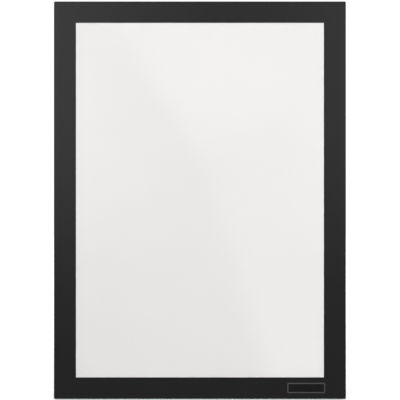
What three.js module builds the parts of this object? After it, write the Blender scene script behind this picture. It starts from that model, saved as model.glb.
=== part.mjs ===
import * as THREE from "three";

// A magnetic display frame for one upright sheet. A flap with a clear window closes over the sheet like
// a book cover, and magnetic strips on the back hold the frame to a steel wall.
//
// Millimetres. The layers are laid out flat, with X to the right, Y up the sheet and Z from the wall to
// the viewer, and are then stood upright: +Z up, the viewer at -Y, the wall at Y = 0. The origin is the
// middle of the back, where it meets the wall.

// The sheet on show, and the room that it has in its pocket
const sheetWidth = 210;
const sheetHeight = 297;
const sheetThickness = 0.2;
const sheetPlay = 0.5;
const sheetRestGap = 0.05;

// The border: its rails, and how far it laps over the edges of the sheet
const sideRail = 18;
const endRail = 17.5;
const sideLap = 2.5;
const endLap = 2;
const cornerRadius = 0.8;
const cornerSteps = 6;

// Thickness of each layer, from the wall to the viewer
const rearMagnetThickness = 0.9;
const panelThickness = 0.8;
const keeperThickness = 0.4;
const frontMagnetThickness = 0.9;
const filmThickness = 0.3;
const borderThickness = 0.4;
const labelThickness = 0.2;

// Gaps between layers: glue, and what is left between the flap and the back when it is shut
const glueLine = 0.05;
const closingClearance = 0.1;

// Strips: their distance from the edge that they follow, and the gap where one butts against the next
const stripInset = 0.5;
const stripButt = 0.4;
const rearStripWidth = 15;
const rearStripInset = 4;

// The panel stops short of the flap's free edge, so that a fingertip can lift the flap
const liftLip = 1;

// Hinge tape, folded along the left edge with its two leaves face to face
const tapeThickness = 0.15;
const tapeLeafWidth = 6.5;
const tapeEndInset = 2;
const tapeKeeperGap = 0.5;
const creaseGap = 0.1;

// Label on the lower rail: it reaches a little past the right edge of the window, and stands a little
// above the middle of the rail
const labelWidth = 31.35;
const labelHeight = 8.6;
const labelRadius = 1.1;
const labelOverhang = 0.95;
const labelRise = 0.23;

// Outlines
const windowWidth = sheetWidth - 2 * sideLap;
const windowHeight = sheetHeight - 2 * endLap;
const frameWidth = windowWidth + 2 * sideRail;
const frameHeight = windowHeight + 2 * endRail;
const pocketWidth = sheetWidth + 2 * sheetPlay;
const pocketHeight = sheetHeight + 2 * sheetPlay;

// Back face of each layer
const panelBack = rearMagnetThickness + glueLine;
const panelFront = panelBack + panelThickness;
const keeperBack = panelFront + glueLine;
const tapeRoom = 2 * (glueLine + tapeThickness) + creaseGap;
const keeperRoom = glueLine + keeperThickness + closingClearance;
const shutRoom = Math.max(keeperRoom, tapeRoom);
const frontMagnetBack = panelFront + shutRoom;
const filmBack = frontMagnetBack + frontMagnetThickness + glueLine;
const borderBack = filmBack + filmThickness + glueLine;
const labelBack = borderBack + borderThickness + glueLine;

/** Material of one colour, roughness and metalness. */
function finish(color, roughness, metalness = 0) {
  return new THREE.MeshStandardMaterial({ color, roughness, metalness });
}

const borderFinish = finish(0x232326, 0.42);
const filmFinish = finish(0xf2f5f6, 0.08);
const paperFinish = finish(0xf1f1ef, 0.9);
const panelFinish = finish(0x1d1d1f, 0.6);
const magnetFinish = finish(0x2f2925, 0.7);
const keeperFinish = finish(0xa9abad, 0.35, 1);
const tapeFinish = finish(0x18181a, 0.65);
const labelFinish = finish(0x1a1a1b, 0.3);

/** Rectangle between two corners, its own corners rounded to a radius. */
function outline(left, bottom, right, top, radius) {
  const shape = new THREE.Shape();
  shape.moveTo(left + radius, bottom);
  shape.absarc(right - radius, bottom + radius, radius, -Math.PI / 2, 0);
  shape.absarc(right - radius, top - radius, radius, 0, Math.PI / 2);
  shape.absarc(left + radius, top - radius, radius, Math.PI / 2, Math.PI);
  shape.absarc(left + radius, bottom + radius, radius, Math.PI, 1.5 * Math.PI);
  return shape;
}

/** Square-cornered opening between two corners. */
function opening(left, bottom, right, top) {
  const path = new THREE.Path();
  path.moveTo(left, bottom);
  path.lineTo(left, top);
  path.lineTo(right, top);
  path.lineTo(right, bottom);
  path.closePath();
  return path;
}

/** Flat piece of a given outline, with its back face at a given height above the wall. */
function plate(name, shape, back, thickness, material) {
  const geometry = new THREE.ExtrudeGeometry(shape, {
    depth: thickness,
    bevelEnabled: false,
    curveSegments: cornerSteps,
  });
  const mesh = new THREE.Mesh(geometry, material);
  mesh.name = name;
  mesh.position.z = back;
  return mesh;
}

/** Square-cornered strip or sheet between two corners, with its back face at a given height. */
function strip(name, left, bottom, right, top, back, thickness, material) {
  const geometry = new THREE.BoxGeometry(right - left, top - bottom, thickness);
  const mesh = new THREE.Mesh(geometry, material);
  mesh.name = name;
  mesh.position.set((left + right) / 2, (bottom + top) / 2, back + thickness / 2);
  return mesh;
}

/** Four strips around the sheet's pocket: full-height sides, with the ends between them. */
function pocketStrips(prefix, outerLeft, outerRight, back, thickness, material) {
  const inX = pocketWidth / 2;
  const inY = pocketHeight / 2;
  const outY = frameHeight / 2 - stripInset;
  const endX = inX - stripButt;
  return [
    strip(`${prefix}_left`, outerLeft, -outY, -inX, outY, back, thickness, material),
    strip(`${prefix}_right`, inX, -outY, outerRight, outY, back, thickness, material),
    strip(`${prefix}_top`, -endX, inY, endX, outY, back, thickness, material),
    strip(`${prefix}_bottom`, -endX, -outY, endX, -inY, back, thickness, material),
  ];
}

/** Back unit: panel, steel keepers, rear magnets, the sheet and the fixed leaf of the hinge tape. */
function backUnit() {
  const left = -frameWidth / 2;
  const right = frameWidth / 2 - liftLip;
  const top = frameHeight / 2;
  const unit = new THREE.Group();

  const panelOutline = outline(left, -top, right, top, cornerRadius);
  unit.add(plate("back_panel", panelOutline, panelBack, panelThickness, panelFinish));

  const keeperLeft = left + tapeLeafWidth + tapeKeeperGap;
  const keeperRight = right - stripInset;
  unit.add(
    ...pocketStrips("keeper", keeperLeft, keeperRight, keeperBack, keeperThickness, keeperFinish),
  );

  const sheetX = sheetWidth / 2;
  const sheetBottom = -pocketHeight / 2 + sheetRestGap;
  const sheetTop = sheetBottom + sheetHeight;
  const sheetBack = panelFront + sheetRestGap;
  unit.add(
    strip("insert_sheet", -sheetX, sheetBottom, sheetX, sheetTop, sheetBack, sheetThickness, paperFinish),
  );

  const magnetLeft = left + rearStripInset;
  const magnetRight = right - rearStripInset;
  const magnetTop = top - rearStripInset;
  const crossLeft = magnetLeft + rearStripWidth + stripButt;
  const crossRight = magnetRight - rearStripWidth - stripButt;
  const rearStrip = (side, x0, y0, x1, y1) =>
    strip(`rear_magnet_${side}`, x0, y0, x1, y1, 0, rearMagnetThickness, magnetFinish);
  unit.add(
    rearStrip("left", magnetLeft, -magnetTop, magnetLeft + rearStripWidth, magnetTop),
    rearStrip("right", magnetRight - rearStripWidth, -magnetTop, magnetRight, magnetTop),
    rearStrip("top", crossLeft, magnetTop - rearStripWidth, crossRight, magnetTop),
    rearStrip("middle", crossLeft, -rearStripWidth / 2, crossRight, rearStripWidth / 2),
    rearStrip("bottom", crossLeft, -magnetTop, crossRight, rearStripWidth - magnetTop),
  );

  unit.add(tapeLeaf("hinge_tape_back_leaf", panelFront + glueLine));
  return unit;
}

/** One leaf of the hinge tape, running from the crease at the left edge. */
function tapeLeaf(name, back) {
  const left = -frameWidth / 2;
  const top = frameHeight / 2 - tapeEndInset;
  return strip(name, left, -top, left + tapeLeafWidth, top, back, tapeThickness, tapeFinish);
}

/** Front flap: border, window film, front magnets, label and the moving leaf of the hinge tape. */
function frontFlap() {
  const right = frameWidth / 2;
  const top = frameHeight / 2;
  const flap = new THREE.Group();

  const borderOutline = outline(-right, -top, right, top, cornerRadius);
  borderOutline.holes.push(
    opening(-windowWidth / 2, -windowHeight / 2, windowWidth / 2, windowHeight / 2),
  );
  flap.add(plate("front_border", borderOutline, borderBack, borderThickness, borderFinish));

  const filmOutline = outline(-right, -top, right, top, cornerRadius);
  flap.add(plate("window_film", filmOutline, filmBack, filmThickness, filmFinish));

  const magnetEdge = right - stripInset;
  flap.add(
    ...pocketStrips(
      "front_magnet",
      -magnetEdge,
      magnetEdge,
      frontMagnetBack,
      frontMagnetThickness,
      magnetFinish,
    ),
  );

  const labelRight = windowWidth / 2 + labelOverhang;
  const labelBottom = labelRise - (windowHeight + endRail + labelHeight) / 2;
  const labelOutline = outline(
    labelRight - labelWidth,
    labelBottom,
    labelRight,
    labelBottom + labelHeight,
    labelRadius,
  );
  flap.add(plate("label_plate", labelOutline, labelBack, labelThickness, labelFinish));

  flap.add(tapeLeaf("hinge_tape_front_leaf", frontMagnetBack - glueLine - tapeThickness));
  return flap;
}

const displayFrame = new THREE.Group();
displayFrame.add(backUnit(), frontFlap());
displayFrame.rotation.x = Math.PI / 2;

export default displayFrame;
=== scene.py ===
import math

import bpy
import numpy as np
from bpy.props import FloatProperty, FloatVectorProperty, PointerProperty
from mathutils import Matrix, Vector


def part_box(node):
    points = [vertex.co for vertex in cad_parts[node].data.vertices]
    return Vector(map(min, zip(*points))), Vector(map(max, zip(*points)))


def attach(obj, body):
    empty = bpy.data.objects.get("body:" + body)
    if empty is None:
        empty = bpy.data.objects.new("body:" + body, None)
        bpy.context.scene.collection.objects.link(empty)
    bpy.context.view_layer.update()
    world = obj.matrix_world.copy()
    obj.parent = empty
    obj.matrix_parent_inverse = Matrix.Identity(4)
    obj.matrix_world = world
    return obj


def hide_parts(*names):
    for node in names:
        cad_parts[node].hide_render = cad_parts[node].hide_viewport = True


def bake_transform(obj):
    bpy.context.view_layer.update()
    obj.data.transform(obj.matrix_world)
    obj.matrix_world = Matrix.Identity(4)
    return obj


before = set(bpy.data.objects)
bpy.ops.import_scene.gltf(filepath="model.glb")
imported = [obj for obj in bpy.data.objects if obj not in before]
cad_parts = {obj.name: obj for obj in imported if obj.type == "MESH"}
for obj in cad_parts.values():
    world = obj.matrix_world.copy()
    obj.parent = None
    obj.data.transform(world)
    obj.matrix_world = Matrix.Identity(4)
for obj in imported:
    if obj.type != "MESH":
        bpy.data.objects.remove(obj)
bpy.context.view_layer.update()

bl_info = {
    "name": "Magnetic display frame",
    "version": (1, 0, 0),
    "blender": (4, 5, 0),
    "location": "3D View > Sidebar > Display frame",
    "description": "Dresses a magnetic display frame: border, window, sheet, strips, hinge tape and studio",
    "category": "Object",
}

MM = 0.001
BACK = "back_unit"
FLAP = "front_flap"
SIDES = ("left", "right", "top", "bottom")

# Steps of the surfaces: round a corner and over an edge
CORNER_STEPS = 6
EDGE_STEPS = 4

# Steps across a ring's rail and along its side
BORDER_STEPS = (5, 40)
LINE_STEPS = (3, 10)

# Steps across and up a plate, and across and along a keeper
FILM_STEPS = (60, 80)
SHEET_STEPS = (40, 50)
PANEL_STEPS = (40, 50)
LABEL_STEPS = (30, 10)
KEEPER_STEPS = (14, 40)

# Steps along a magnetic strip and across one of its ridges
STRIP_STEPS = 24
RIDGE_STEPS = 8

# Steps across a leaf of the hinge tape, round its crease and up the hinge
TAPE_STEPS = (10, 12, 60)

# Width of the narrow faces beside a rounded edge, which keep the shading of the flat face flat
HOLD = 0.3 * MM

# Keeps a division from zero, and a comparison clear of rounding
TINY = 1e-12

# Radii of edges, seen in section
FILM_EDGE = 0.08 * MM
SHEET_EDGE = 0.05 * MM
LABEL_EDGE = 0.06 * MM
STRIP_EDGE = 0.1 * MM
KEEPER_EDGE = 0.08 * MM
PANEL_EDGE = 0.15 * MM

# How far the label's line stands above its field, and how far in from its edge
LINE_RISE = 0.03 * MM
LINE_INSET = 0.06 * MM

# How far each face of a keeper falls off towards its long edges
KEEPER_CAMBER = 0.03 * MM

# Share of the film's bow that comes in a wave, and how far the wave slants
BOW_WAVE = 0.25
BOW_SLANT = 0.4

# Share of the sheet's lean that its lower edge already has
SHEET_FOOT = 1 / 3

# Ranges of a finish's patterns: the whole, and the part where most of a noise lies
WHOLE = (0.0, 1.0)
NOISE = (0.3, 0.7)

# Share of light that each face of the film mirrors straight on, and the colour that it lets through
FILM_MIRROR = 0.035
FILM_TINT = (0.975, 0.978, 0.978, 1.0)
WHITE = (1.0, 1.0, 1.0, 1.0)

# Camera: the picture's square frame spans this width at the border's front face, round this place. The
# sensor's width is in millimetres, as the lens is
PICTURE_WIDTH = 330.1 * MM
PICTURE_CENTRE = (0.08 * MM, 0.12 * MM)
SENSOR_WIDTH = 36.0

# Floor: its half width, the gap under the frame, its paint, and its glow between two distances
FLOOR_REACH = 4.0
FLOOR_GAP = 0.2 * MM
FLOOR_PAINT = ((0.86, 0.86, 0.86), (0.9, 0.9, 0.9))
FLOOR_DISTANCES = (0.3, 2.5)
FLOOR_GLOWS = (0.24, 1.2)

# Painted shade in the floor's colour and glow where the object keeps the open air from it, felt up to a
# distance by so many rays
PAINTED_CONTACT_SHADE = (0.45, 0.45, 0.45)
CONTACT_REACH = 0.1
CONTACT_RAYS = 16

# Sky: its light on the camera's side and behind the object, and the white that the camera sees
SKY_LIGHT = (0.08, 0.8)
SKY_WHITE = 1.14

# Lamps: the place of the right one where there are two, and the width
KEY_PLACE = (0.85, -1.6, 1.75)
KEY_WIDTH = 1.0
REAR_PLACE = (1.1, 1.2, 0.8)
REAR_WIDTH = 0.8
FILL_PLACE = (0.05, -0.7, -0.15)
FILL_WIDTH = 0.5

# Glowing wall behind the camera: its depth, half width and top. Its light rises between places on the
# frame where the camera sees the wall mirrored: upwards, to the left and, to a share, to the right. A dim
# light is all over it
WALL_Y = -2.4
WALL_REACH = 1.2
WALL_TOP = 0.85
WALL_UP = (-95 * MM, 50 * MM)
WALL_LEFT = (30 * MM, -130 * MM)
WALL_RIGHT = (30 * MM, 170 * MM)
WALL_RIGHT_SHARE = 0.9
WALL_DIM = 0.05

# Glare card: its depth, and its outline on the film where the camera sees it mirrored. Its glow falls from
# a larger share to the whole between two heights, and more round a spot fades out between two radii
GLARE_Y = -1.2
GLARE_OUTLINE = np.array([(-105, 200), (8, 22), (71, -200), (160, -200), (160, 200)]) * MM
GLARE_HEIGHTS = (-150 * MM, -60 * MM)
GLARE_LOW_SHARE = 1.65
GLARE_SPOT = (26 * MM, 0, 110 * MM)
GLARE_RADII = (25 * MM, 80 * MM)
GLARE_SPOT_SHARE = 0.95


def corners(node):
    """Lowest and highest corner of a CAD node, as arrays."""
    low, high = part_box(node)
    return np.array(low), np.array(high)


def strip_box(node):
    """Lowest and highest corner of a CAD strip, its width, and whether it runs upright."""
    low, high = corners(node)
    width, _, height = high - low
    return low, high, min(width, height), height > width


# Places that several pieces share, read from the frame
BORDER_LOW, BORDER_HIGH = corners("front_border")
FILM_LOW, FILM_HIGH = corners("window_film")
PANEL_LOW, PANEL_HIGH = corners("back_panel")
SHEET_LOW, SHEET_HIGH = corners("insert_sheet")
LABEL_LOW, LABEL_HIGH = corners("label_plate")
BACK_LEAF_LOW, BACK_LEAF_HIGH = corners("hinge_tape_back_leaf")
FRONT_LEAF_LOW, FRONT_LEAF_HIGH = corners("hinge_tape_front_leaf")
FLOOR_HEIGHT = PANEL_LOW[2]


def window_half():
    """Half the width and height of the border's window, from the innermost points of the CAD border."""
    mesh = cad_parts["front_border"].data
    points = np.empty(len(mesh.vertices) * 3, np.float32)
    mesh.vertices.foreach_get("co", points)
    points = np.abs(points.reshape(-1, 3))
    half_width = points[:, 0].min()
    half_height = points[:, 2].min()
    return float(half_width), float(half_height)


WINDOW_X, WINDOW_Z = window_half()


def length(name, description, default):
    """A length property, in metres."""
    return FloatProperty(name=name, description=description, default=default, unit="LENGTH")


def colour(name, description, default):
    """A colour property, in linear light."""
    return FloatVectorProperty(
        name=name,
        description=description,
        default=default,
        size=3,
        min=0.0,
        max=1.0,
        subtype="COLOR",
    )


def watts(name, description, default):
    """A property for the power of a lamp."""
    return FloatProperty(name=name, description=description, default=default, min=0.0, unit="POWER")


def brightness(name, description, default):
    """A property for the glow of a surface, where 1 is white."""
    return FloatProperty(name=name, description=description, default=default, min=0.0)


class FrameSizes(bpy.types.PropertyGroup):
    """Sizes of the fine forms that the dressed pieces add."""

    corner: length("Corner", "Radius of the frame's outer corners, seen from the front", 0.8 * MM)
    window_corner: length("Window corner", "Radius of the window's corners", 0.15 * MM)
    window_lap: length(
        "Window lap", "How far the border's skin reaches in past the edge of its CAD window", 0.2 * MM
    )
    edge: length("Edge", "Radius of the border's edges, seen in section", 0.07 * MM)
    film_bow: length("Film bow", "How far the window film stands out in the middle", 0.2 * MM)
    sheet_lean: length("Sheet lean", "How far the sheet's upper edge leans towards the film", 1.17 * MM)
    sheet_curl: length("Sheet curl", "Height of the sheet's own gentle waves", 0.06 * MM)
    ridge_pitch: length(
        "Ridge pitch", "Distance between the extruded lines along a magnetic strip", 1.45 * MM
    )
    ridge_depth: length("Ridge depth", "Depth of the extruded lines along a magnetic strip", 0.04 * MM)
    label_line: length("Label line", "Width of the line round the label", 0.93 * MM)
    label_corner: length("Label corner", "Radius of the label's corners", 1.1 * MM)


class FrameColours(bpy.types.PropertyGroup):
    """Colours of the finishes, in linear light."""

    border: colour("Border", "Satin black skin of the border", (0.0212, 0.0212, 0.0221))
    panel: colour("Panel", "Grained black board of the back", (0.0095, 0.0095, 0.0102))
    magnet: colour("Magnet", "Dark brown-grey magnetic rubber", (0.031, 0.0275, 0.0245))
    steel: colour("Steel", "Zinc-coated keeper strips", (0.66, 0.67, 0.68))
    paper: colour("Paper", "Blank sheet on show", (0.913, 0.886, 0.8814))
    tape: colour("Tape", "Woven hinge tape", (0.012, 0.012, 0.013))
    label: colour("Label", "Dark field of the label", (0.0115, 0.0115, 0.012))
    line: colour("Label line", "Printed line round the label", (0.112, 0.112, 0.114))


class StageSettings(bpy.types.PropertyGroup):
    """Camera and light of the studio."""

    lens: FloatProperty(
        name="Lens",
        description="Focal length of the camera",
        default=100.0,
        min=20.0,
        unit="CAMERA",
    )
    key_power: watts("Key power", "Power of each large soft lamp in front of the frame", 27.1)
    fill_power: watts("Fill power", "Power of the soft lamp that evens the light on the sheet", 2.3)
    back_power: watts("Back power", "Power of each soft lamp behind the frame", 14.0)
    glare_glow: brightness("Glare glow", "Brightness of the card that the window film mirrors", 0.6)
    wall_glow: brightness(
        "Wall glow", "Brightness of the pale studio wall behind the camera, which the border mirrors", 0.95
    )


# Surfaces


def grid_quads(rows, columns, wrap_rows=False, wrap_columns=False):
    """Corner numbers of the faces of a grid whose points are numbered row by row, closed on itself if
    asked."""
    i = np.arange(rows if wrap_rows else rows - 1)
    j = np.arange(columns if wrap_columns else columns - 1)
    i, j = (a.ravel() for a in np.meshgrid(i, j, indexing="ij"))
    next_i = (i + 1) % rows
    next_j = (j + 1) % columns
    return np.stack(
        [i * columns + j, i * columns + next_j, next_i * columns + next_j, next_i * columns + j], axis=1
    )


def facing_out(points, quads):
    """The faces, all turned round if the volume they enclose comes out negative."""
    a, b, c, d = (points[quads[:, k]] for k in range(4))
    volume = np.einsum("ij,ij->", a, np.cross(b, c)) + np.einsum("ij,ij->", a, np.cross(c, d))
    return quads if volume > 0 else quads[:, ::-1]


def axis_places(half, corner, count):
    """Places across a plate from -half to half: even inside, closer in the rounded corners."""
    inside = np.linspace(-1, 1, count) * (half - corner - HOLD)
    outside = half - corner * np.linspace(1, 0, CORNER_STEPS + 1)
    if corner <= 0:
        outside = np.array([half])
    return np.concatenate([-outside[::-1], inside, outside])


def rounded(x, z, half_x, half_z, corner):
    """Grid points with their four corner squares turned into quarter discs: a point keeps the larger of
    its two distances from the corner's centre as its distance from there."""
    over_x = np.maximum(np.abs(x) - (half_x - corner), 0)
    over_z = np.maximum(np.abs(z) - (half_z - corner), 0)
    far = np.maximum(np.hypot(over_x, over_z), TINY)
    keep = np.where((over_x > 0) & (over_z > 0), np.maximum(over_x, over_z) / far, 1)
    x = np.sign(x) * (np.abs(x) - over_x * (1 - keep))
    z = np.sign(z) * (np.abs(z) - over_z * (1 - keep))
    return x, z


def border_of_grid(rows, columns):
    """Numbers of the points round the outside of a grid, once round."""
    return np.concatenate(
        [
            np.arange(rows - 1) * columns,
            (rows - 1) * columns + np.arange(columns - 1),
            np.arange(rows - 1, 0, -1) * columns + columns - 1,
            np.arange(columns - 1, 0, -1),
        ]
    )


def plate(low, high, corner, edge, steps, lift=None, relief=None):
    """A closed plate between two corners, as points, faces and edge wear.

    Its front and back are grids over x and z: y = face - lift(x, z), pressed in by relief(x, z), with the
    corners rounded in the plane. The rim joins them by a quarter turn of radius edge, a flat side and
    another quarter turn. Wear is 1 on the rim and 0 on the faces."""
    centre = (low + high) / 2
    half_x, _, half_z = (high - low) / 2 - edge
    inner = max(corner - edge, 0.0)
    places_x = axis_places(half_x, inner, steps[0])
    places_z = axis_places(half_z, inner, steps[1])
    x, z = np.meshgrid(places_x, places_z, indexing="ij")
    rows, columns = x.shape
    core_x = np.clip(x, -(half_x - inner), half_x - inner)
    core_z = np.clip(z, -(half_z - inner), half_z - inner)
    x, z = rounded(x, z, half_x, half_z, inner)
    rise = np.zeros_like(x) if lift is None else lift(centre[0] + x, centre[2] + z)
    dent = np.zeros_like(x) if relief is None else relief(x, z)
    front = np.stack([centre[0] + x, low[1] - rise + dent, centre[2] + z], axis=-1).reshape(-1, 3)
    back = np.stack([centre[0] + x, high[1] - rise - dent, centre[2] + z], axis=-1).reshape(-1, 3)

    outer = border_of_grid(rows, columns)
    out = np.stack([x - core_x, np.zeros_like(x), z - core_z], axis=-1).reshape(-1, 3)[outer]
    if inner > 0:
        out = out / inner
    else:
        outer_x = x.ravel()[outer]
        outer_z = z.ravel()[outer]
        out[:, 0] = np.where(np.isclose(np.abs(outer_x), half_x), np.sign(outer_x), 0)
        out[:, 2] = np.where(np.isclose(np.abs(outer_z), half_z), np.sign(outer_z), 0)
    turn = np.linspace(0, math.pi / 2, EDGE_STEPS + 1)[1:, None, None]
    inward = np.array([0, 1, 0])
    front_rim = front[outer] + edge * (np.sin(turn) * out + (1 - np.cos(turn)) * inward)
    back_rim = back[outer] + edge * (np.sin(turn) * out - (1 - np.cos(turn)) * inward)
    rim = np.concatenate([front_rim, back_rim[::-1]])

    points = np.concatenate([front, back, rim.reshape(-1, 3)])
    start = len(front) + len(back)
    rim_numbers = start + np.arange(len(rim) * len(outer)).reshape(len(rim), len(outer))
    loops = np.concatenate([outer[None], rim_numbers, (len(front) + outer)[None]])
    around = grid_quads(len(loops), len(outer), wrap_columns=True)
    faces = grid_quads(rows, columns)
    quads = np.concatenate([faces, len(front) + faces[:, ::-1], loops.ravel()[around][:, ::-1]])
    wear = np.concatenate([np.zeros(start), np.ones(rim.size // 3)])
    return points, facing_out(points, quads), wear


def rounded_loop(half_x, half_z, radius, side_steps):
    """Points once round rounded rectangles, one row for each set of half sizes and radius: a quarter arc
    at each corner, and side_steps places along the straight side that follows it."""
    half_x, half_z, radius = (np.asarray(a, float)[:, None] for a in (half_x, half_z, radius))
    arc = np.linspace(0, math.pi / 2, CORNER_STEPS + 1)
    along = np.linspace(0, 1, side_steps + 2)[1:-1]
    signs = ((1, 1), (-1, 1), (-1, -1), (1, -1))
    parts = []
    for k, (sign_x, sign_z) in enumerate(signs):
        angle = arc + k * math.pi / 2
        corner_x = sign_x * (half_x - radius) + radius * np.cos(angle)
        corner_z = sign_z * (half_z - radius) + radius * np.sin(angle)
        next_x, next_z = signs[(k + 1) % 4]
        to_x = next_x * (half_x - radius) + radius * math.cos(angle[-1])
        to_z = next_z * (half_z - radius) + radius * math.sin(angle[-1])
        side_x = corner_x[:, -1:] + (to_x - corner_x[:, -1:]) * along
        side_z = corner_z[:, -1:] + (to_z - corner_z[:, -1:]) * along
        parts += [np.stack([corner_x, corner_z], axis=-1), np.stack([side_x, side_z], axis=-1)]
    return np.concatenate(parts, axis=1)


def ring(low, high, inner_half, corner, inner_corner, edge, face_steps, side_steps):
    """A closed flat ring between a rounded rectangle and a smaller one, as points, faces and edge wear.

    A section is carried round the ring: share goes from 0 at the outside to 1 at the opening, and depth
    from the front face to the back. Its two front edges are quarter turns of radius edge, and wear is 1
    on them and 0 elsewhere."""
    centre = (low + high) / 2
    outer_x, depth, outer_z = (high - low) / 2 * np.array([1, 2, 1])
    rail = outer_x - inner_half[0]
    turn = np.linspace(0, math.pi / 2, EDGE_STEPS + 1)
    edge_share = edge / rail
    hold = HOLD / rail
    flat = np.linspace(edge_share + hold, 1 - edge_share - hold, face_steps)
    bend_share = edge_share * (1 - np.sin(turn))
    bend_down = edge * (1 - np.cos(turn))
    share = np.concatenate([[0.0], bend_share[::-1], flat, 1 - bend_share, [1.0], flat[::-1]])
    down = np.concatenate(
        [[depth], bend_down[::-1], 0 * flat, bend_down, [depth], np.full(face_steps, depth)]
    )
    half_x = outer_x + (inner_half[0] - outer_x) * share
    half_z = outer_z + (inner_half[1] - outer_z) * share
    radius = corner + (inner_corner - corner) * share
    loop = rounded_loop(half_x, half_z, radius, side_steps)
    y = np.broadcast_to((low[1] + down)[:, None], loop.shape[:2])
    points = np.stack([centre[0] + loop[..., 0], y, centre[2] + loop[..., 1]], axis=-1)
    on_edge = (np.minimum(share, 1 - share) < edge_share + TINY) & (down < depth)
    wear = np.broadcast_to(on_edge[:, None], loop.shape[:2]).astype(float).ravel()
    quads = grid_quads(len(share), loop.shape[1], wrap_rows=True, wrap_columns=True)
    points = points.reshape(-1, 3)
    return points, facing_out(points, quads), wear


def folded_tape(back_low, back_high, front_low, front_high, leaf_steps, crease_steps, length_steps):
    """The hinge tape as points, faces and edge wear, and each point's place on the flat tape.

    Its middle line runs from the back leaf's free edge to the crease, round a half circle and along the
    front leaf. Its two faces lie half a thickness to either side, and the section is carried up the
    hinge."""
    thick = back_high[1] - back_low[1]
    back_y = (back_low[1] + back_high[1]) / 2
    front_y = (front_low[1] + front_high[1]) / 2
    radius = (back_y - front_y) / 2
    bend_x = back_low[0] + radius + thick / 2
    free_x = back_high[0]
    leaf = np.linspace(free_x, bend_x, leaf_steps)
    turn = np.linspace(0, math.pi, crease_steps + 2)[1:-1]
    middle_x = np.concatenate([leaf, bend_x - radius * np.sin(turn), leaf[::-1]])
    middle_y = np.concatenate(
        [np.full(leaf_steps, back_y), front_y + radius + radius * np.cos(turn), np.full(leaf_steps, front_y)]
    )
    normal_x = np.concatenate([np.zeros(leaf_steps), -np.sin(turn), np.zeros(leaf_steps)])
    normal_y = np.concatenate([np.ones(leaf_steps), np.cos(turn), -np.ones(leaf_steps)])
    across = np.concatenate([[0], np.cumsum(np.hypot(np.diff(middle_x), np.diff(middle_y)))])
    up = np.linspace(back_low[2], back_high[2], length_steps)
    rows, columns = len(across), length_steps
    z = np.broadcast_to(up, (rows, columns))

    def face(side):
        """One face: the middle line moved along its normal by half a thickness, to one side."""
        x = np.broadcast_to((middle_x + side * normal_x * thick / 2)[:, None], (rows, columns))
        y = np.broadcast_to((middle_y + side * normal_y * thick / 2)[:, None], (rows, columns))
        return np.stack([x, y, z], axis=-1).reshape(-1, 3)

    outside, inside = face(1), face(-1)
    points = np.concatenate([outside, inside])
    count = len(outside)
    rim = border_of_grid(rows, columns)
    loops = np.stack([rim, rim + count])
    around = loops.ravel()[grid_quads(2, len(rim), wrap_columns=True)]
    faces = grid_quads(rows, columns)
    quads = np.concatenate([faces, count + faces[:, ::-1], around[:, ::-1]])
    wear = np.zeros(len(points))
    wear[loops.ravel()] = 1
    flat = np.stack([np.repeat(across, columns), np.tile(up, rows)], axis=1)
    return points, facing_out(points, quads), wear, np.concatenate([flat, flat])


def add_piece(name, shape, material, flat_places=None):
    """A new object with this shape and material, at the origin, with its wear as a point attribute and,
    where given, its places on the flat material as a UV map in metres."""
    points, quads, wear = shape
    mesh = bpy.data.meshes.new(name)
    mesh.vertices.add(len(points))
    mesh.vertices.foreach_set("co", points.astype(np.float32).ravel())
    mesh.loops.add(quads.size)
    mesh.loops.foreach_set("vertex_index", quads.astype(np.int32).ravel())
    mesh.polygons.add(len(quads))
    mesh.polygons.foreach_set("loop_start", np.arange(0, quads.size, 4, dtype=np.int32))
    mesh.polygons.foreach_set("use_smooth", np.ones(len(quads), bool))
    mesh.update(calc_edges=True)
    mesh.attributes.new("wear", "FLOAT", "POINT").data.foreach_set("value", wear.astype(np.float32))
    if flat_places is not None:
        layer = mesh.uv_layers.new(name="flat")
        layer.data.foreach_set("uv", flat_places[quads.ravel()].astype(np.float32).ravel())
    if mesh.validate():
        raise RuntimeError(f"{name}: its mesh was not sound")
    mesh.materials.append(material)
    piece = bpy.data.objects.new(name, mesh)
    bpy.context.scene.collection.objects.link(piece)
    return piece


def settle(piece, body, slot, *nodes):
    """The piece rides on a body and stands for CAD nodes, which are hidden. The slot is not used."""
    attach(piece, body)
    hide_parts(*nodes)


# Finishes


def put(tree, kind, inputs=None, **fields):
    """A new node, with its fields set, and its inputs set to values or linked to sockets."""
    made = tree.nodes.new(kind)
    for name, value in fields.items():
        setattr(made, name, value)
    for name, value in (inputs or {}).items():
        if isinstance(value, bpy.types.NodeSocket):
            tree.links.new(value, made.inputs[name])
        else:
            made.inputs[name].default_value = value
    return made


def new_finish(name):
    """An empty material: the material, its node tree and its output node."""
    material = bpy.data.materials.new(name)
    material.use_nodes = True
    tree = material.node_tree
    tree.nodes.clear()
    return material, tree, put(tree, "ShaderNodeOutputMaterial")


def object_places(tree, stretch=(1, 1, 1)):
    """The point's place on the piece in metres, with each axis stretched."""
    places = put(tree, "ShaderNodeTexCoord").outputs["Object"]
    return put(tree, "ShaderNodeMapping", {"Vector": places, "Scale": stretch}).outputs["Vector"]


def cloud(tree, places, per_metre, detail=3.0, roughness=0.5):
    """Noise from 0 to 1 with so many blotches per metre."""
    inputs = {"Vector": places, "Scale": per_metre, "Detail": detail, "Roughness": roughness}
    return put(tree, "ShaderNodeTexNoise", inputs).outputs["Fac"]


def span(tree, value, source, goal, curve="LINEAR"):
    """A value carried from one range to another along a curve, and kept inside it."""
    inputs = {
        "Value": value,
        "From Min": source[0],
        "From Max": source[1],
        "To Min": goal[0],
        "To Max": goal[1],
    }
    return put(tree, "ShaderNodeMapRange", inputs, clamp=True, interpolation_type=curve).outputs["Result"]


def joined(tree, operation, first, second):
    """Two values put together by a sum, product, power or the like."""
    return put(tree, "ShaderNodeMath", {0: first, 1: second}, operation=operation).outputs[0]


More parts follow.
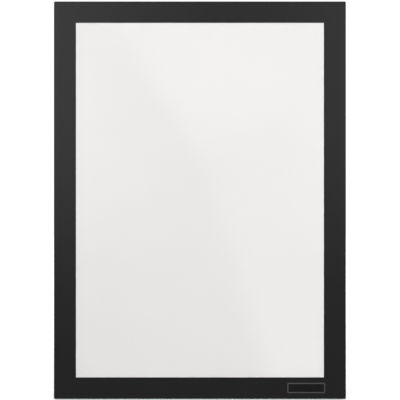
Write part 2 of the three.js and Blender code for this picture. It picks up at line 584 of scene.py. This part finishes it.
def tint(tree, share, first, second):
    """A colour between two, by a share from 0 to 1."""
    made = put(tree, "ShaderNodeMix", data_type="RGBA")
    tree.links.new(share, made.inputs["Factor"])
    for socket, value in ((made.inputs["A"], first), (made.inputs["B"], second)):
        if isinstance(value, bpy.types.NodeSocket):
            tree.links.new(value, socket)
        else:
            socket.default_value = (*value, 1.0)
    return made.outputs["Result"]


def scaled(rgb, factor):
    """A colour made lighter or darker."""
    return tuple(min(1.0, c * factor) for c in rgb)


def bump(tree, height, depth, strength=1.0, below=None):
    """A normal that follows a height from 0 to 1 of so many metres, on top of another."""
    inputs = {"Height": height, "Distance": depth, "Strength": strength}
    if below is not None:
        inputs["Normal"] = below
    return put(tree, "ShaderNodeBump", inputs).outputs["Normal"]


def worn(tree, most):
    """The piece's own wear attribute, from 0 on its faces to so much on its edges."""
    wear = put(tree, "ShaderNodeAttribute", attribute_name="wear").outputs["Fac"]
    return span(tree, wear, WHOLE, (0.0, most))


def surface(tree, out, **inputs):
    """A Principled shader on the material's output."""
    shader = put(tree, "ShaderNodeBsdfPrincipled", {k.replace("_", " "): v for k, v in inputs.items()})
    tree.links.new(shader.outputs["BSDF"], out.inputs["Surface"])


def border_skin(rgb):
    """Satin black plastic skin: a fine pressed grain, faint handling blotches, paler edges."""
    material, tree, out = new_finish("border_skin")
    places = object_places(tree)
    grain = cloud(tree, places, per_metre=3200.0, detail=4.0, roughness=0.6)
    blotch = cloud(tree, places, per_metre=38.0)
    base = tint(tree, blotch, scaled(rgb, 0.92), scaled(rgb, 1.08))
    speckled = tint(tree, span(tree, grain, (0.35, 0.75), WHOLE), base, scaled(rgb, 1.12))
    surface(
        tree,
        out,
        Base_Color=tint(tree, worn(tree, 0.2), speckled, scaled(rgb, 2.0)),
        Roughness=span(tree, blotch, NOISE, (0.24, 0.268)),
        Normal=bump(tree, grain, depth=0.006 * MM, strength=0.35),
    )
    return material


def clear_film():
    """Clear plastic film: it passes light and has faint wiping smears. Each face mirrors a small share
    straight on, and more at a slant, by the fifth power of one less the cosine."""
    material, tree, out = new_finish("clear_film")
    smear = cloud(tree, object_places(tree, (1.0, 1.0, 0.35)), per_metre=22.0, detail=4.0, roughness=0.6)
    ripple = cloud(tree, object_places(tree), per_metre=9.0, detail=2.0)
    gloss = put(
        tree,
        "ShaderNodeBsdfAnisotropic",
        {
            "Color": WHITE,
            "Roughness": span(tree, smear, NOISE, (0.07, 0.11)),
            "Normal": bump(tree, ripple, depth=0.25 * MM, strength=0.3),
        },
    )
    clear = put(tree, "ShaderNodeBsdfTransparent", {"Color": FILM_TINT})
    grazing = put(tree, "ShaderNodeLayerWeight", {"Blend": 0.5}).outputs["Facing"]
    mirrored = span(tree, joined(tree, "POWER", grazing, 5.0), WHOLE, (FILM_MIRROR, 1.0))
    shaders = {"Fac": mirrored, 1: clear.outputs["BSDF"], 2: gloss.outputs["BSDF"]}
    both = put(tree, "ShaderNodeMixShader", shaders)
    tree.links.new(both.outputs["Shader"], out.inputs["Surface"])
    return material


def blank_paper(rgb):
    """Matt uncoated paper: short fibres, a faint cloudy look-through and a soft tooth."""
    material, tree, out = new_finish("blank_paper")
    upright = object_places(tree, (1.0, 1.0, 0.4))
    fibres = cloud(tree, upright, per_metre=2600.0, detail=4.0, roughness=0.65)
    formation = cloud(tree, object_places(tree), per_metre=120.0)
    base = tint(tree, formation, scaled(rgb, 0.99), scaled(rgb, 1.008))
    surface(
        tree,
        out,
        Base_Color=tint(tree, span(tree, fibres, NOISE, (0.0, 0.5)), base, scaled(rgb, 0.965)),
        Roughness=span(tree, fibres, NOISE, (0.84, 0.94)),
        Specular_IOR_Level=0.3,
        Normal=bump(tree, fibres, depth=0.01 * MM, strength=0.4),
    )
    return material


def magnetic_rubber(rgb):
    """Dark magnetic rubber: ferrite speckle, a dusty bloom and rubbed edges."""
    material, tree, out = new_finish("magnetic_rubber")
    places = object_places(tree)
    speckle = cloud(tree, places, per_metre=2400.0, detail=5.0, roughness=0.7)
    bloom = cloud(tree, places, per_metre=55.0, detail=4.0, roughness=0.6)
    base = tint(tree, speckle, scaled(rgb, 0.7), scaled(rgb, 1.35))
    dusty = tint(tree, span(tree, bloom, (0.45, 0.75), (0.0, 0.35)), base, scaled(rgb, 2.1))
    surface(
        tree,
        out,
        Base_Color=tint(tree, worn(tree, 0.4), dusty, scaled(rgb, 2.4)),
        Roughness=span(tree, bloom, NOISE, (0.52, 0.68)),
        Normal=bump(tree, speckle, depth=0.012 * MM, strength=0.6),
    )
    return material


def keeper_steel(rgb, upright):
    """Zinc-coated steel strip: fine rolling lines along its length and a faint spangle."""
    material, tree, out = new_finish("keeper_steel_upright" if upright else "keeper_steel_level")
    rolled = (1.0, 1.0, 0.012) if upright else (0.012, 1.0, 1.0)
    lines = cloud(tree, object_places(tree, rolled), per_metre=5200.0)
    spangle = cloud(tree, object_places(tree), per_metre=240.0, detail=2.0)
    base = tint(tree, spangle, scaled(rgb, 0.86), scaled(rgb, 1.1))
    surface(
        tree,
        out,
        Base_Color=tint(tree, span(tree, lines, (0.4, 0.8), (0.0, 0.5)), base, scaled(rgb, 0.72)),
        Metallic=1.0,
        Roughness=span(tree, lines, NOISE, (0.4, 0.54)),
        Normal=bump(tree, lines, depth=0.004 * MM, strength=0.5),
    )
    return material


def panel_board(rgb):
    """Black plastic board with a hair-cell grain pressed into it, rubbed paler along its rim."""
    material, tree, out = new_finish("panel_board")
    places = object_places(tree)
    inputs = {"Vector": places, "Scale": 900.0, "Randomness": 1.0}
    cells = put(tree, "ShaderNodeTexVoronoi", inputs).outputs["Distance"]
    fine = cloud(tree, places, per_metre=2800.0, detail=4.0, roughness=0.6)
    blotch = cloud(tree, places, per_metre=18.0, detail=4.0)
    base = tint(tree, blotch, scaled(rgb, 0.85), scaled(rgb, 1.2))
    grain = bump(tree, span(tree, cells, (0.0, 0.7), WHOLE), depth=0.03 * MM, strength=0.6)
    surface(
        tree,
        out,
        Base_Color=tint(tree, worn(tree, 0.4), base, scaled(rgb, 3.0)),
        Roughness=span(tree, blotch, NOISE, (0.44, 0.56)),
        Normal=bump(tree, fine, depth=0.01 * MM, strength=0.4, below=grain),
    )
    return material


def hinge_cloth(rgb):
    """Coated woven tape: two sets of crossing threads, on the tape's own flat places."""
    material, tree, out = new_finish("hinge_cloth")
    flat = put(tree, "ShaderNodeUVMap", uv_map="flat").outputs["UV"]
    threads = []
    for direction in ("X", "Y"):
        wave = put(
            tree,
            "ShaderNodeTexWave",
            {"Vector": flat, "Scale": 380.0, "Distortion": 0.4, "Detail": 1.0},
            wave_type="BANDS",
            bands_direction=direction,
        )
        threads.append(wave.outputs["Fac"])
    weave = joined(tree, "MAXIMUM", *threads)
    lint = cloud(tree, object_places(tree), per_metre=420.0)
    base = tint(tree, weave, scaled(rgb, 0.6), scaled(rgb, 1.3))
    surface(
        tree,
        out,
        Base_Color=tint(tree, span(tree, lint, (0.5, 0.8), (0.0, 0.4)), base, scaled(rgb, 2.0)),
        Roughness=span(tree, weave, WHOLE, (0.72, 0.55)),
        Normal=bump(tree, weave, depth=0.03 * MM, strength=0.6),
    )
    return material


def label_field(rgb):
    """Smooth dark label: a faint lacquer ripple and fine dust."""
    material, tree, out = new_finish("label_field")
    places = object_places(tree)
    ripple = cloud(tree, places, per_metre=300.0, detail=2.0)
    dust = cloud(tree, places, per_metre=5000.0, detail=2.0)
    base = tint(tree, ripple, scaled(rgb, 0.9), scaled(rgb, 1.1))
    surface(
        tree,
        out,
        Base_Color=tint(tree, span(tree, dust, (0.66, 0.75), (0.0, 0.4)), base, scaled(rgb, 2.5)),
        Roughness=span(tree, ripple, NOISE, (0.285, 0.335)),
        Normal=bump(tree, ripple, depth=0.01 * MM, strength=0.4),
    )
    return material


def label_print(rgb):
    """Grey printed line: slightly uneven ink."""
    material, tree, out = new_finish("label_print")
    ink = cloud(tree, object_places(tree), per_metre=3000.0)
    shade = tint(tree, ink, scaled(rgb, 0.85), scaled(rgb, 1.15))
    surface(tree, out, Base_Color=shade, Roughness=span(tree, ink, NOISE, (0.4, 0.55)))
    return material


# Operators: one for each piece or group of like pieces


class DISPLAYFRAME_OT_border(bpy.types.Operator):
    """Make the black border round the window"""

    bl_idname = "displayframe.border"
    bl_label = "Border"

    def execute(self, context):
        sizes, colours = context.scene.display_sizes, context.scene.display_colours
        window = (WINDOW_X - sizes.window_lap, WINDOW_Z - sizes.window_lap)
        radii = (sizes.corner, sizes.window_corner, sizes.edge)
        skin = ring(BORDER_LOW, BORDER_HIGH, window, *radii, *BORDER_STEPS)
        piece = add_piece("border_skin", skin, border_skin(colours.border))
        settle(piece, FLAP, "border_black", "front_border")
        return {"FINISHED"}


class DISPLAYFRAME_OT_film(bpy.types.Operator):
    """Make the clear film across the window"""

    bl_idname = "displayframe.film"
    bl_label = "Window film"

    def execute(self, context):
        sizes = context.scene.display_sizes

        def bow(x, z):
            """Flat behind the border; inside the window a pillow with a slow slanting wave."""
            across = np.clip(1 - (x / WINDOW_X) ** 2, 0, 1)
            upward = np.clip(1 - (z / WINDOW_Z) ** 2, 0, 1)
            wave = np.cos((x + BOW_SLANT * z) / WINDOW_X * math.pi)
            return sizes.film_bow * across * upward * (1 - BOW_WAVE + BOW_WAVE * wave)

        pane = plate(FILM_LOW, FILM_HIGH, sizes.corner, FILM_EDGE, FILM_STEPS, lift=bow)
        piece = add_piece("window_pane", pane, clear_film())
        settle(piece, FLAP, "film_clear", "window_film")
        return {"FINISHED"}


class DISPLAYFRAME_OT_sheet(bpy.types.Operator):
    """Make the blank sheet on show"""

    bl_idname = "displayframe.sheet"
    bl_label = "Sheet"

    def execute(self, context):
        sizes, colours = context.scene.display_sizes, context.scene.display_colours
        width, _, height = SHEET_HIGH - SHEET_LOW

        def lean(x, z):
            """The sheet stands on its lower edge, a share of the lean off the panel, and leans on the film:
            the rest comes by one less the fourth power of the share of the height above. Slow waves
            cross it."""
            up = (z - SHEET_LOW[2]) / height
            wave = np.sin(2 * math.pi * x / width) * np.sin(math.pi * up)
            return sizes.sheet_lean * (1 - (1 - SHEET_FOOT) * (1 - up) ** 4) + sizes.sheet_curl * wave

        paper = plate(SHEET_LOW, SHEET_HIGH, 0.0, SHEET_EDGE, SHEET_STEPS, lift=lean)
        piece = add_piece("paper_sheet", paper, blank_paper(colours.paper))
        settle(piece, BACK, "sheet_white", "insert_sheet")
        return {"FINISHED"}


class DISPLAYFRAME_OT_label(bpy.types.Operator):
    """Make the bare label and the line printed round it"""

    bl_idname = "displayframe.label"
    bl_label = "Label"

    def execute(self, context):
        sizes, colours = context.scene.display_sizes, context.scene.display_colours
        low = LABEL_LOW + [0, LINE_RISE, 0]
        field = plate(low, LABEL_HIGH, sizes.label_corner, LABEL_EDGE, LABEL_STEPS)
        piece = add_piece("label_field", field, label_field(colours.label))
        settle(piece, FLAP, "label_dark", "label_plate")

        inset = np.array([LINE_INSET, 0, LINE_INSET])
        low = LABEL_LOW + inset
        high = LABEL_HIGH - inset
        high[1] = LABEL_LOW[1] + 2 * LINE_RISE
        inner = (high - low)[[0, 2]] / 2 - sizes.label_line
        corner = sizes.label_corner - LINE_INSET
        radii = (corner, corner - sizes.label_line, LINE_RISE / 2)
        line = ring(low, high, inner, *radii, *LINE_STEPS)
        outline = add_piece("label_outline", line, label_print(colours.line))
        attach(outline, FLAP)
        return {"FINISHED"}


class DISPLAYFRAME_OT_magnets(bpy.types.Operator):
    """Make the magnetic strips of the flap and of the back"""

    bl_idname = "displayframe.magnets"
    bl_label = "Magnetic strips"

    def execute(self, context):
        sizes, colours = context.scene.display_sizes, context.scene.display_colours
        rubber = magnetic_rubber(colours.magnet)
        strips = [(f"front_magnet_{side}", f"flap_strip_{side}", FLAP) for side in SIDES]
        strips += [(f"rear_magnet_{side}", f"wall_strip_{side}", BACK) for side in (*SIDES, "middle")]
        for node, name, body in strips:
            low, high, width, upright = strip_box(node)

            def grooves(x, z, upright=upright):
                """Shallow rounded grooves along the strip, pressed in from both faces."""
                across = x if upright else z
                return sizes.ridge_depth * (0.5 - 0.5 * np.cos(2 * math.pi * across / sizes.ridge_pitch))

            steps = (round(RIDGE_STEPS * width / sizes.ridge_pitch), STRIP_STEPS)
            steps = steps if upright else steps[::-1]
            strip = plate(low, high, 0.0, STRIP_EDGE, steps, relief=grooves)
            settle(add_piece(name, strip, rubber), body, "magnet_strip", node)
        return {"FINISHED"}


class DISPLAYFRAME_OT_keepers(bpy.types.Operator):
    """Make the steel strips that the flap's magnets close on"""

    bl_idname = "displayframe.keepers"
    bl_label = "Steel keepers"

    def execute(self, context):
        colours = context.scene.display_colours
        finishes = {upright: keeper_steel(colours.steel, upright) for upright in (True, False)}
        for side in SIDES:
            low, high, width, upright = strip_box(f"keeper_{side}")

            def camber(x, z, upright=upright, half=width / 2):
                """A rolled strip: thinner towards its two long edges by the square of the distance."""
                across = x if upright else z
                return KEEPER_CAMBER * (across / half) ** 2

            steps = KEEPER_STEPS if upright else KEEPER_STEPS[::-1]
            strip = plate(low, high, 0.0, KEEPER_EDGE, steps, relief=camber)
            piece = add_piece(f"steel_keeper_{side}", strip, finishes[upright])
            settle(piece, BACK, "keeper_steel", f"keeper_{side}")
        return {"FINISHED"}


class DISPLAYFRAME_OT_panel(bpy.types.Operator):
    """Make the black board of the back"""

    bl_idname = "displayframe.panel"
    bl_label = "Back panel"

    def execute(self, context):
        sizes, colours = context.scene.display_sizes, context.scene.display_colours
        board = plate(PANEL_LOW, PANEL_HIGH, sizes.corner, PANEL_EDGE, PANEL_STEPS)
        piece = add_piece("panel_board", board, panel_board(colours.panel))
        settle(piece, BACK, "panel_black", "back_panel")
        return {"FINISHED"}


class DISPLAYFRAME_OT_hinge(bpy.types.Operator):
    """Make the folded hinge tape"""

    bl_idname = "displayframe.hinge"
    bl_label = "Hinge tape"

    def execute(self, context):
        colours = context.scene.display_colours
        leaves = (BACK_LEAF_LOW, BACK_LEAF_HIGH, FRONT_LEAF_LOW, FRONT_LEAF_HIGH)
        *shape, flat = folded_tape(*leaves, *TAPE_STEPS)
        piece = add_piece("hinge_tape", shape, hinge_cloth(colours.tape), flat)
        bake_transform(piece)
        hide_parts("hinge_tape_back_leaf", "hinge_tape_front_leaf")
        return {"FINISHED"}


# Studio


def floor_finish():
    """Pale studio floor: faint cloudy paint, with painted contact shade in its colour and glow where the
    object keeps the open air from it. It glows more with the distance from the object, so that it meets the
    white behind without a line."""
    material, tree, out = new_finish("pale_floor")
    paint = cloud(tree, object_places(tree), per_metre=3.0)
    away = put(tree, "ShaderNodeVectorMath", {0: object_places(tree, (1, 1, 0))}, operation="LENGTH")
    openness = put(tree, "ShaderNodeAmbientOcclusion", {"Distance": CONTACT_REACH}, samples=CONTACT_RAYS)
    # Painted contact shade: the ambient occlusion darkens the floor's colour and its glow near the object
    paint_with_painted_shade = tint(tree, openness.outputs["AO"], PAINTED_CONTACT_SHADE, tint(tree, paint, *FLOOR_PAINT))
    surface(
        tree,
        out,
        Base_Color=paint_with_painted_shade,
        Roughness=span(tree, paint, NOISE, (0.8, 0.9)),
        Emission_Color=paint_with_painted_shade,
        Emission_Strength=span(tree, away.outputs["Value"], FLOOR_DISTANCES, FLOOR_GLOWS),
    )
    return material


def glow_wall_finish(glow, mirror):
    """Light of the studio wall behind the camera: bright above the camera's height, on the left and, a
    little less, on the right, with a dim stretch between them and a dim lower half. Its places are those
    on the frame where the camera sees them mirrored: the wall's own, divided by mirror."""
    material, tree, out = new_finish("glow_wall")
    places = object_places(tree, (1 / mirror, 1 / mirror, 1 / mirror))
    axes = put(tree, "ShaderNodeSeparateXYZ", {"Vector": places}).outputs
    above = span(tree, axes["Z"], WALL_UP, (0.0, glow), "SMOOTHSTEP")
    left = span(tree, axes["X"], WALL_LEFT, WHOLE, "SMOOTHSTEP")
    right = span(tree, axes["X"], WALL_RIGHT, (0.0, WALL_RIGHT_SHARE), "SMOOTHSTEP")
    lit = joined(tree, "MULTIPLY", above, joined(tree, "MAXIMUM", left, right))
    emission = put(tree, "ShaderNodeEmission", {"Strength": joined(tree, "ADD", lit, WALL_DIM)})
    tree.links.new(emission.outputs["Emission"], out.inputs["Surface"])
    return material


def glare_finish(glow, mirror):
    """Light of the clear card that the window film mirrors: brighter towards the bottom and round a spot
    near the top. Its places are those on the film where the camera sees them mirrored."""
    material, tree, out = new_finish("glare_card")
    places = object_places(tree, (1 / mirror, 0, 1 / mirror))
    height = put(tree, "ShaderNodeSeparateXYZ", {"Vector": places}).outputs["Z"]
    lower = span(tree, height, GLARE_HEIGHTS, (GLARE_LOW_SHARE * glow, glow))
    away = put(tree, "ShaderNodeVectorMath", {0: places, 1: GLARE_SPOT}, operation="DISTANCE")
    upper = span(tree, away.outputs["Value"], GLARE_RADII, (GLARE_SPOT_SHARE * glow, 0.0))
    emission = put(tree, "ShaderNodeEmission", {"Strength": joined(tree, "ADD", lower, upper)})
    clear = put(tree, "ShaderNodeBsdfTransparent")
    both = put(tree, "ShaderNodeAddShader", {0: emission.outputs["Emission"], 1: clear.outputs["BSDF"]})
    tree.links.new(both.outputs["Shader"], out.inputs["Surface"])
    return material


def flat_sheet(name, corners_at, material, hidden_from):
    """A flat piece of the studio with these corners, hidden from some kinds of rays."""
    mesh = bpy.data.meshes.new(name)
    mesh.from_pydata(corners_at, [], [range(len(corners_at))])
    mesh.materials.append(material)
    made = bpy.data.objects.new(name, mesh)
    bpy.context.scene.collection.objects.link(made)
    for rays in hidden_from:
        setattr(made, f"visible_{rays}", False)
    return made


def soft_lamp(name, place, width, power):
    """A soft square lamp at a place, turned to the middle of the frame. The camera does not see it."""
    lamp = bpy.data.lights.new(name, "AREA")
    lamp.shape = "SQUARE"
    lamp.size = width
    lamp.energy = power
    made = bpy.data.objects.new(name, lamp)
    made.location = place
    made.rotation_euler = Vector(place).to_track_quat("Z", "Y").to_euler()
    made.visible_camera = False
    bpy.context.scene.collection.objects.link(made)
    return made


def lamp_pair(name, place, width, power):
    """Two like lamps, on the left and, mirrored, on the right."""
    x, y, z = place
    left = soft_lamp(f"{name}_left", (-x, y, z), width, power)
    right = soft_lamp(f"{name}_right", place, width, power)
    return left, right


def light_only(lamp, name):
    """Keeps a lamp's light to one piece."""
    lit = bpy.data.collections.new(f"lit_by_{lamp.name}")
    lit.objects.link(bpy.data.objects[name])
    lamp.light_linking.receiver_collection = lit


def pass_by(lamp, name):
    """Lets a lamp's light past one piece, which then casts no shadow in it."""
    passed = bpy.data.collections.new(f"passed_by_{lamp.name}")
    passed.objects.link(bpy.data.objects[name])
    passed.collection_objects[0].light_linking.link_state = "EXCLUDE"
    lamp.light_linking.blocker_collection = passed


def picture_camera(lens):
    """The camera, level and straight in front, and its distance from the border's front face: the width of
    the picture times the lens, divided by the sensor's width."""
    camera = bpy.data.cameras.new("camera")
    camera.lens = lens
    camera.sensor_width = SENSOR_WIDTH
    away = PICTURE_WIDTH * camera.lens / camera.sensor_width
    eye = bpy.data.objects.new("camera", camera)
    eye.location = (PICTURE_CENTRE[0], BORDER_LOW[1] - away, PICTURE_CENTRE[1])
    eye.rotation_euler = (math.pi / 2, 0, 0)
    bpy.context.scene.collection.objects.link(eye)
    bpy.context.scene.camera = eye
    return away


def mirror_scale(y, away):
    """How much larger than on the frame a thing at depth y is, where the camera sees it mirrored there."""
    return 1 + (BORDER_LOW[1] - y) / away


def studio_sky():
    """White behind the object; for light, dim on the camera's side and brighter behind and above."""
    world = bpy.data.worlds.new("studio_sky")
    world.use_nodes = True
    tree = world.node_tree
    tree.nodes.clear()
    out = put(tree, "ShaderNodeOutputWorld")
    direction = put(tree, "ShaderNodeTexCoord").outputs["Generated"]
    axes = put(tree, "ShaderNodeSeparateXYZ", {"Vector": direction})
    depth = span(tree, axes.outputs["Y"], WHOLE, SKY_LIGHT)
    light = put(tree, "ShaderNodeBackground", {"Color": WHITE, "Strength": depth})
    white = put(tree, "ShaderNodeBackground", {"Color": WHITE, "Strength": SKY_WHITE})
    seen = put(tree, "ShaderNodeLightPath").outputs["Is Camera Ray"]
    shaders = {"Fac": seen, 1: light.outputs["Background"], 2: white.outputs["Background"]}
    both = put(tree, "ShaderNodeMixShader", shaders)
    tree.links.new(both.outputs["Shader"], out.inputs["Surface"])
    bpy.context.scene.world = world


def studio_floor():
    """The floor, just under the frame. It is seen, but nothing mirrors it or is lit by it."""
    z = FLOOR_HEIGHT - FLOOR_GAP
    square = ((-1, -1), (1, -1), (1, 1), (-1, 1))
    at = [(x * FLOOR_REACH, y * FLOOR_REACH, z) for x, y in square]
    flat_sheet("floor", at, floor_finish(), ("glossy", "diffuse", "shadow"))


def studio_wall(glow, away):
    """The glowing wall behind the camera, which the border and the film mirror."""
    square = ((-1, FLOOR_HEIGHT), (-1, WALL_TOP), (1, WALL_TOP), (1, FLOOR_HEIGHT))
    at = [(x * WALL_REACH, WALL_Y, z) for x, z in square]
    flat_sheet("glow_wall", at, glow_wall_finish(glow, mirror_scale(WALL_Y, away)), ("camera", "shadow"))


def studio_lamps(stage):
    """The soft lamps: two in front, two behind, and one for the sheet alone. Those in front shine past the
    border, so it casts no shadow line on the sheet."""
    keys = lamp_pair("key", KEY_PLACE, KEY_WIDTH, stage.key_power)
    lamp_pair("back", REAR_PLACE, REAR_WIDTH, stage.back_power)
    fill = soft_lamp("sheet_fill", FILL_PLACE, FILL_WIDTH, stage.fill_power)
    light_only(fill, "paper_sheet")
    for lamp in (*keys, fill):
        pass_by(lamp, "border_skin")


def glare_card(glow, away):
    """The clear card that only the window film mirrors."""
    mirror = mirror_scale(GLARE_Y, away)
    at = [(x * mirror, GLARE_Y, z * mirror) for x, z in GLARE_OUTLINE]
    card = flat_sheet("glare_card", at, glare_finish(glow, mirror), ("camera", "shadow"))
    light_only(card, "window_pane")


class DISPLAYFRAME_OT_stage(bpy.types.Operator):
    """Make the camera, the pale floor and the soft light"""

    bl_idname = "displayframe.stage"
    bl_label = "Studio"

    def execute(self, context):
        stage = context.scene.display_stage
        context.scene.view_settings.view_transform = "Standard"
        context.scene.view_settings.look = "None"
        away = picture_camera(stage.lens)
        studio_sky()
        studio_floor()
        studio_wall(stage.wall_glow, away)
        studio_lamps(stage)
        glare_card(stage.glare_glow, away)
        return {"FINISHED"}


OPERATORS = (
    DISPLAYFRAME_OT_border,
    DISPLAYFRAME_OT_film,
    DISPLAYFRAME_OT_sheet,
    DISPLAYFRAME_OT_label,
    DISPLAYFRAME_OT_magnets,
    DISPLAYFRAME_OT_keepers,
    DISPLAYFRAME_OT_panel,
    DISPLAYFRAME_OT_hinge,
    DISPLAYFRAME_OT_stage,
)


class DISPLAYFRAME_PT_panel(bpy.types.Panel):
    """Lists the sizes, the colours, the studio's settings and the operators"""

    bl_idname = "DISPLAYFRAME_PT_panel"
    bl_label = "Magnetic display frame"
    bl_space_type = "VIEW_3D"
    bl_region_type = "UI"
    bl_category = "Display frame"

    def draw(self, context):
        """A box for each group of settings, and a button for each operator."""
        scene = context.scene
        for group in (scene.display_sizes, scene.display_colours, scene.display_stage):
            box = self.layout.box()
            for name in group.bl_rna.properties.keys():
                if name not in {"rna_type", "name"}:
                    box.prop(group, name)
        for operator in OPERATORS:
            self.layout.operator(operator.bl_idname)


CLASSES = (FrameSizes, FrameColours, StageSettings, *OPERATORS, DISPLAYFRAME_PT_panel)


def register():
    """Registers the classes and gives the scene its sizes, colours and settings."""
    for each in CLASSES:
        bpy.utils.register_class(each)
    bpy.types.Scene.display_sizes = PointerProperty(type=FrameSizes)
    bpy.types.Scene.display_colours = PointerProperty(type=FrameColours)
    bpy.types.Scene.display_stage = PointerProperty(type=StageSettings)


def unregister():
    """Takes back what register did, in reverse."""
    del bpy.types.Scene.display_stage
    del bpy.types.Scene.display_colours
    del bpy.types.Scene.display_sizes
    for each in reversed(CLASSES):
        bpy.utils.unregister_class(each)


def main():
    """Registers the classes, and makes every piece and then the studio."""
    register()
    for operator in OPERATORS:
        group, name = operator.bl_idname.split(".")
        getattr(getattr(bpy.ops, group), name)()


if __name__ == "__main__":
    main()
